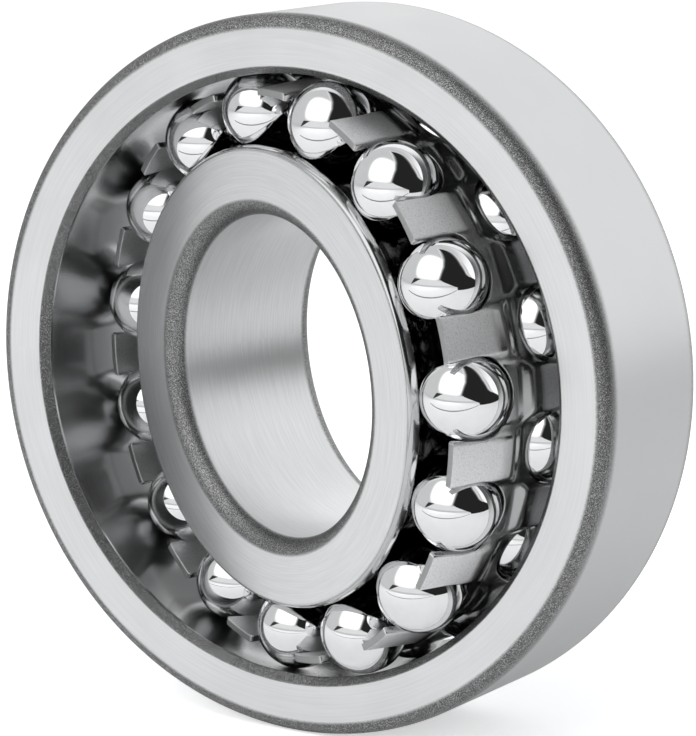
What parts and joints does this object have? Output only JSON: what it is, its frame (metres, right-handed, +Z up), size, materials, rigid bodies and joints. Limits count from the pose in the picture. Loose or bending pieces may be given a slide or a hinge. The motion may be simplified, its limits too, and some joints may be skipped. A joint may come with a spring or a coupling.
{
  "type": "self-aligning ball bearing",
  "caption": "Self-aligning ball bearing with two staggered rows of balls in a pressed steel cage, its inner ring swung out of line with the outer ring.",
  "frame": {"origin": "the middle of the bearing, where the axes of both rings cross and the centre of the ball-shaped raceway lies", "axes": "the outer ring's axis is along Y with its front side towards -Y, and +Z is up with the bearing standing upright"},
  "size_m": [0.1, 0.0498, 0.1],
  "materials": {
    "ring_steel": "hardened steel, ground on the sides, bore and outside, polished in the raceways",
    "cage_steel": "pressed sheet steel, matt on the tongues and burnished at the crest",
    "ball_steel": "lapped to a mirror"
  },
  "bodies": {
    "outer_ring": {"outer_ring": "ring_steel"},
    "cage": {"cage": "cage_steel"},
    "inner_ring": {"inner_ring": "ring_steel"},
    "ball_front_01": {"ball_front_01": "ball_steel"},
    "ball_front_02": {"ball_front_02": "ball_steel"},
    "ball_front_03": {"ball_front_03": "ball_steel"},
    "ball_front_04": {"ball_front_04": "ball_steel"},
    "ball_front_05": {"ball_front_05": "ball_steel"},
    "ball_front_06": {"ball_front_06": "ball_steel"},
    "ball_front_07": {"ball_front_07": "ball_steel"},
    "ball_front_08": {"ball_front_08": "ball_steel"},
    "ball_front_09": {"ball_front_09": "ball_steel"},
    "ball_front_10": {"ball_front_10": "ball_steel"},
    "ball_front_11": {"ball_front_11": "ball_steel"},
    "ball_front_12": {"ball_front_12": "ball_steel"},
    "ball_front_13": {"ball_front_13": "ball_steel"},
    "ball_front_14": {"ball_front_14": "ball_steel"},
    "ball_front_15": {"ball_front_15": "ball_steel"},
    "ball_back_01": {"ball_back_01": "ball_steel"},
    "ball_back_02": {"ball_back_02": "ball_steel"},
    "ball_back_03": {"ball_back_03": "ball_steel"},
    "ball_back_04": {"ball_back_04": "ball_steel"},
    "ball_back_05": {"ball_back_05": "ball_steel"},
    "ball_back_06": {"ball_back_06": "ball_steel"},
    "ball_back_07": {"ball_back_07": "ball_steel"},
    "ball_back_08": {"ball_back_08": "ball_steel"},
    "ball_back_09": {"ball_back_09": "ball_steel"},
    "ball_back_10": {"ball_back_10": "ball_steel"},
    "ball_back_11": {"ball_back_11": "ball_steel"},
    "ball_back_12": {"ball_back_12": "ball_steel"},
    "ball_back_13": {"ball_back_13": "ball_steel"},
    "ball_back_14": {"ball_back_14": "ball_steel"},
    "ball_back_15": {"ball_back_15": "ball_steel"}
  },
  "joints": [
    {"name": "swivel", "type": "hinge", "parent": "outer_ring", "child": "cage", "pos_m": [0, 0, 0], "axis": [0.0872, 0, -0.9962], "range_deg": [-40, 0]},
    {"name": "inner_ring_spin", "type": "hinge", "parent": "cage", "child": "inner_ring", "pos_m": [0, 0, 0], "axis": [-0.3407, -0.9397, -0.0298], "continuous": true},
    {"name": "ball_front_01_roll", "type": "hinge", "parent": "cage", "child": "ball_front_01", "pos_m": [0.03209, -0.01894, 0.00216], "axis": [-0.5058, -0.8617, -0.0411], "continuous": true},
    {"name": "ball_front_02_roll", "type": "hinge", "parent": "cage", "child": "ball_front_02", "pos_m": [0.02806, -0.01794, 0.01685], "axis": [-0.4858, -0.8666, -0.114], "continuous": true},
    {"name": "ball_front_03_roll", "type": "hinge", "parent": "cage", "child": "ball_front_03", "pos_m": [0.01877, -0.01495, 0.02859], "axis": [-0.4397, -0.8815, -0.1722], "continuous": true},
    {"name": "ball_front_04_roll", "type": "hinge", "parent": "cage", "child": "ball_front_04", "pos_m": [0.00584, -0.01048, 0.03534], "axis": [-0.3755, -0.9037, -0.2058], "continuous": true},
    {"name": "ball_front_05_roll", "type": "hinge", "parent": "cage", "child": "ball_front_05", "pos_m": [-0.0085, -0.0053, 0.03596], "axis": [-0.3043, -0.9294, -0.2088], "continuous": true},
    {"name": "ball_front_06_roll", "type": "hinge", "parent": "cage", "child": "ball_front_06", "pos_m": [-0.02177, -0.0003, 0.03032], "axis": [-0.2384, -0.9542, -0.1808], "continuous": true},
    {"name": "ball_front_07_roll", "type": "hinge", "parent": "cage", "child": "ball_front_07", "pos_m": [-0.03168, 0.00363, 0.0194], "axis": [-0.1893, -0.9737, -0.1266], "continuous": true},
    {"name": "ball_front_08_roll", "type": "hinge", "parent": "cage", "child": "ball_front_08", "pos_m": [-0.03651, 0.00584, 0.00509], "axis": [-0.1653, -0.9847, -0.0556], "continuous": true},
    {"name": "ball_front_09_roll", "type": "hinge", "parent": "cage", "child": "ball_front_09", "pos_m": [-0.03543, 0.00593, -0.01013], "axis": [-0.1706, -0.9851, 0.02], "continuous": true},
    {"name": "ball_front_10_roll", "type": "hinge", "parent": "cage", "child": "ball_front_10", "pos_m": [-0.02862, 0.00389, -0.02363], "axis": [-0.2044, -0.975, 0.087], "continuous": true},
    {"name": "ball_front_11_roll", "type": "hinge", "parent": "cage", "child": "ball_front_11", "pos_m": [-0.01727, 0.00007, -0.03309], "axis": [-0.2608, -0.9561, 0.1339], "continuous": true},
    {"name": "ball_front_12_roll", "type": "hinge", "parent": "cage", "child": "ball_front_12", "pos_m": [-0.00333, -0.00486, -0.03686], "axis": [-0.33, -0.9316, 0.1526], "continuous": true},
    {"name": "ball_front_13_roll", "type": "hinge", "parent": "cage", "child": "ball_front_13", "pos_m": [0.01079, -0.01006, -0.03429], "axis": [-0.4001, -0.9057, 0.1399], "continuous": true},
    {"name": "ball_front_14_roll", "type": "hinge", "parent": "cage", "child": "ball_front_14", "pos_m": [0.02264, -0.01462, -0.02582], "axis": [-0.4589, -0.8831, 0.0979], "continuous": true},
    {"name": "ball_front_15_roll", "type": "hinge", "parent": "cage", "child": "ball_front_15", "pos_m": [0.03017, -0.01777, -0.01293], "axis": [-0.4963, -0.8675, 0.0339], "continuous": true},
    {"name": "ball_back_01_roll", "type": "hinge", "parent": "cage", "child": "ball_back_01", "pos_m": [0.03543, -0.00593, 0.01013], "axis": [-0.1706, -0.9851, 0.02], "continuous": true},
    {"name": "ball_back_02_roll", "type": "hinge", "parent": "cage", "child": "ball_back_02", "pos_m": [0.02862, -0.00389, 0.02363], "axis": [-0.2044, -0.975, 0.087], "continuous": true},
    {"name": "ball_back_03_roll", "type": "hinge", "parent": "cage", "child": "ball_back_03", "pos_m": [0.01727, -0.00007, 0.03309], "axis": [-0.2608, -0.9561, 0.1339], "continuous": true},
    {"name": "ball_back_04_roll", "type": "hinge", "parent": "cage", "child": "ball_back_04", "pos_m": [0.00333, 0.00486, 0.03686], "axis": [-0.33, -0.9316, 0.1526], "continuous": true},
    {"name": "ball_back_05_roll", "type": "hinge", "parent": "cage", "child": "ball_back_05", "pos_m": [-0.01079, 0.01006, 0.03429], "axis": [-0.4001, -0.9057, 0.1399], "continuous": true},
    {"name": "ball_back_06_roll", "type": "hinge", "parent": "cage", "child": "ball_back_06", "pos_m": [-0.02264, 0.01462, 0.02582], "axis": [-0.4589, -0.8831, 0.0979], "continuous": true},
    {"name": "ball_back_07_roll", "type": "hinge", "parent": "cage", "child": "ball_back_07", "pos_m": [-0.03017, 0.01777, 0.01293], "axis": [-0.4963, -0.8675, 0.0339], "continuous": true},
    {"name": "ball_back_08_roll", "type": "hinge", "parent": "cage", "child": "ball_back_08", "pos_m": [-0.03209, 0.01894, -0.00216], "axis": [-0.5058, -0.8617, -0.0411], "continuous": true},
    {"name": "ball_back_09_roll", "type": "hinge", "parent": "cage", "child": "ball_back_09", "pos_m": [-0.02806, 0.01794, -0.01685], "axis": [-0.4858, -0.8666, -0.114], "continuous": true},
    {"name": "ball_back_10_roll", "type": "hinge", "parent": "cage", "child": "ball_back_10", "pos_m": [-0.01877, 0.01495, -0.02859], "axis": [-0.4397, -0.8815, -0.1722], "continuous": true},
    {"name": "ball_back_11_roll", "type": "hinge", "parent": "cage", "child": "ball_back_11", "pos_m": [-0.00584, 0.01048, -0.03534], "axis": [-0.3755, -0.9037, -0.2058], "continuous": true},
    {"name": "ball_back_12_roll", "type": "hinge", "parent": "cage", "child": "ball_back_12", "pos_m": [0.0085, 0.0053, -0.03596], "axis": [-0.3043, -0.9294, -0.2088], "continuous": true},
    {"name": "ball_back_13_roll", "type": "hinge", "parent": "cage", "child": "ball_back_13", "pos_m": [0.02177, 0.0003, -0.03032], "axis": [-0.2384, -0.9542, -0.1808], "continuous": true},
    {"name": "ball_back_14_roll", "type": "hinge", "parent": "cage", "child": "ball_back_14", "pos_m": [0.03168, -0.00363, -0.0194], "axis": [-0.1893, -0.9737, -0.1266], "continuous": true},
    {"name": "ball_back_15_roll", "type": "hinge", "parent": "cage", "child": "ball_back_15", "pos_m": [0.03651, -0.00584, -0.00509], "axis": [-0.1653, -0.9847, -0.0556], "continuous": true}
  ],
  "couplings": [
    {"joint": "ball_front_01_roll", "follows": "inner_ring_spin", "ratio": -5.1817},
    {"joint": "ball_front_02_roll", "follows": "inner_ring_spin", "ratio": -5.1817},
    {"joint": "ball_front_03_roll", "follows": "inner_ring_spin", "ratio": -5.1817},
    {"joint": "ball_front_04_roll", "follows": "inner_ring_spin", "ratio": -5.1817},
    {"joint": "ball_front_05_roll", "follows": "inner_ring_spin", "ratio": -5.1817},
    {"joint": "ball_front_06_roll", "follows": "inner_ring_spin", "ratio": -5.1817},
    {"joint": "ball_front_07_roll", "follows": "inner_ring_spin", "ratio": -5.1817},
    {"joint": "ball_front_08_roll", "follows": "inner_ring_spin", "ratio": -5.1817},
    {"joint": "ball_front_09_roll", "follows": "inner_ring_spin", "ratio": -5.1817},
    {"joint": "ball_front_10_roll", "follows": "inner_ring_spin", "ratio": -5.1817},
    {"joint": "ball_front_11_roll", "follows": "inner_ring_spin", "ratio": -5.1817},
    {"joint": "ball_front_12_roll", "follows": "inner_ring_spin", "ratio": -5.1817},
    {"joint": "ball_front_13_roll", "follows": "inner_ring_spin", "ratio": -5.1817},
    {"joint": "ball_front_14_roll", "follows": "inner_ring_spin", "ratio": -5.1817},
    {"joint": "ball_front_15_roll", "follows": "inner_ring_spin", "ratio": -5.1817},
    {"joint": "ball_back_01_roll", "follows": "inner_ring_spin", "ratio": -5.1817},
    {"joint": "ball_back_02_roll", "follows": "inner_ring_spin", "ratio": -5.1817},
    {"joint": "ball_back_03_roll", "follows": "inner_ring_spin", "ratio": -5.1817},
    {"joint": "ball_back_04_roll", "follows": "inner_ring_spin", "ratio": -5.1817},
    {"joint": "ball_back_05_roll", "follows": "inner_ring_spin", "ratio": -5.1817},
    {"joint": "ball_back_06_roll", "follows": "inner_ring_spin", "ratio": -5.1817},
    {"joint": "ball_back_07_roll", "follows": "inner_ring_spin", "ratio": -5.1817},
    {"joint": "ball_back_08_roll", "follows": "inner_ring_spin", "ratio": -5.1817},
    {"joint": "ball_back_09_roll", "follows": "inner_ring_spin", "ratio": -5.1817},
    {"joint": "ball_back_10_roll", "follows": "inner_ring_spin", "ratio": -5.1817},
    {"joint": "ball_back_11_roll", "follows": "inner_ring_spin", "ratio": -5.1817},
    {"joint": "ball_back_12_roll", "follows": "inner_ring_spin", "ratio": -5.1817},
    {"joint": "ball_back_13_roll", "follows": "inner_ring_spin", "ratio": -5.1817},
    {"joint": "ball_back_14_roll", "follows": "inner_ring_spin", "ratio": -5.1817},
    {"joint": "ball_back_15_roll", "follows": "inner_ring_spin", "ratio": -5.1817}
  ]
}
